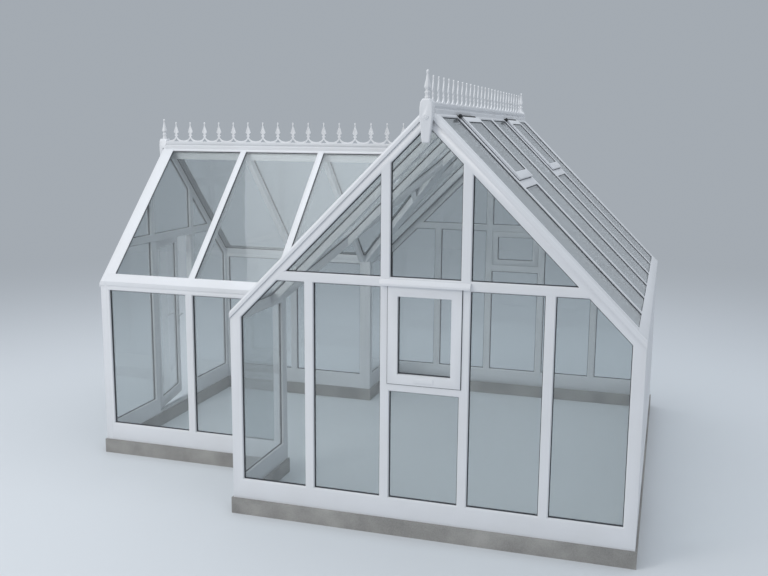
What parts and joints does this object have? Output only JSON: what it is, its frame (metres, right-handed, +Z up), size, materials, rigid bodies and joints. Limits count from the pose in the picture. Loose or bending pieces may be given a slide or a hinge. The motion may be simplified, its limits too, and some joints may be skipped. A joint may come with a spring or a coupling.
{
  "type": "glass greenhouse",
  "caption": "White-framed glasshouse with a T-shaped plan: a gabled main house with a lower gabled wing, steep glazed roofs, spiked ridge cresting, finials and a hinged glazed door.",
  "frame": {"origin": "on the ground under the middle of the front gable's outer face", "axes": "+X to the right seen from the front gable, +Y from the front gable to the rear gable, +Z up; the wing with the door reaches towards -X"},
  "size_m": [5.8817, 4.88, 3.994],
  "materials": {
    "white_frame": "satin gloss",
    "white_casting": "satin",
    "white_metal": "semi-gloss",
    "clear_glass": "polished",
    "concrete": "rough, weathered",
    "bare_aluminium": "mill finish"
  },
  "bodies": {
    "house": {"door_hinges": "white_metal", "door_threshold": "bare_aluminium", "finials": "white_casting", "front_plinth": "concrete", "front_wall_frame": "white_frame", "gable_windows": "white_frame", "left_eaves": "white_frame", "left_plinths": "concrete", "left_roof_bars": "white_frame", "left_roof_glass": "clear_glass", "left_wall_frames": "white_frame", "main_cresting": "white_casting", "main_ridge": "white_frame", "main_verges": "white_frame", "main_wall_glass": "clear_glass", "pendants": "white_frame", "rear_plinth": "concrete", "rear_wall_frame": "white_frame", "right_eave": "white_frame", "right_plinth": "concrete", "right_roof_bars": "white_frame", "right_roof_glass": "clear_glass", "right_wall_frame": "white_frame", "roof_vents": "white_frame", "valleys": "white_frame", "vent_frames": "white_frame", "window_hoods": "white_frame", "wing_cresting": "white_casting", "wing_eaves": "white_frame", "wing_end_front_frame": "white_frame", "wing_end_plinth": "concrete", "wing_end_rear_frame": "white_frame", "wing_front_frame": "white_frame", "wing_gable_frame": "white_frame", "wing_rear_frame": "white_frame", "wing_ridge": "white_frame", "wing_roof_bars": "white_frame", "wing_roof_glass": "clear_glass", "wing_side_plinths": "concrete", "wing_verge": "white_frame", "wing_wall_glass": "clear_glass"},
    "door": {"door_leaf": "white_frame", "door_glass": "clear_glass", "door_hinge_leaves": "white_metal", "door_handles": "white_metal"}
  },
  "joints": [
    {"name": "door_hinge", "type": "hinge", "parent": "house", "child": "door", "pos_m": [-3.86, 2.06567, 1.19], "axis": [0, 0, 1], "range_deg": [-12, 78]}
  ]
}
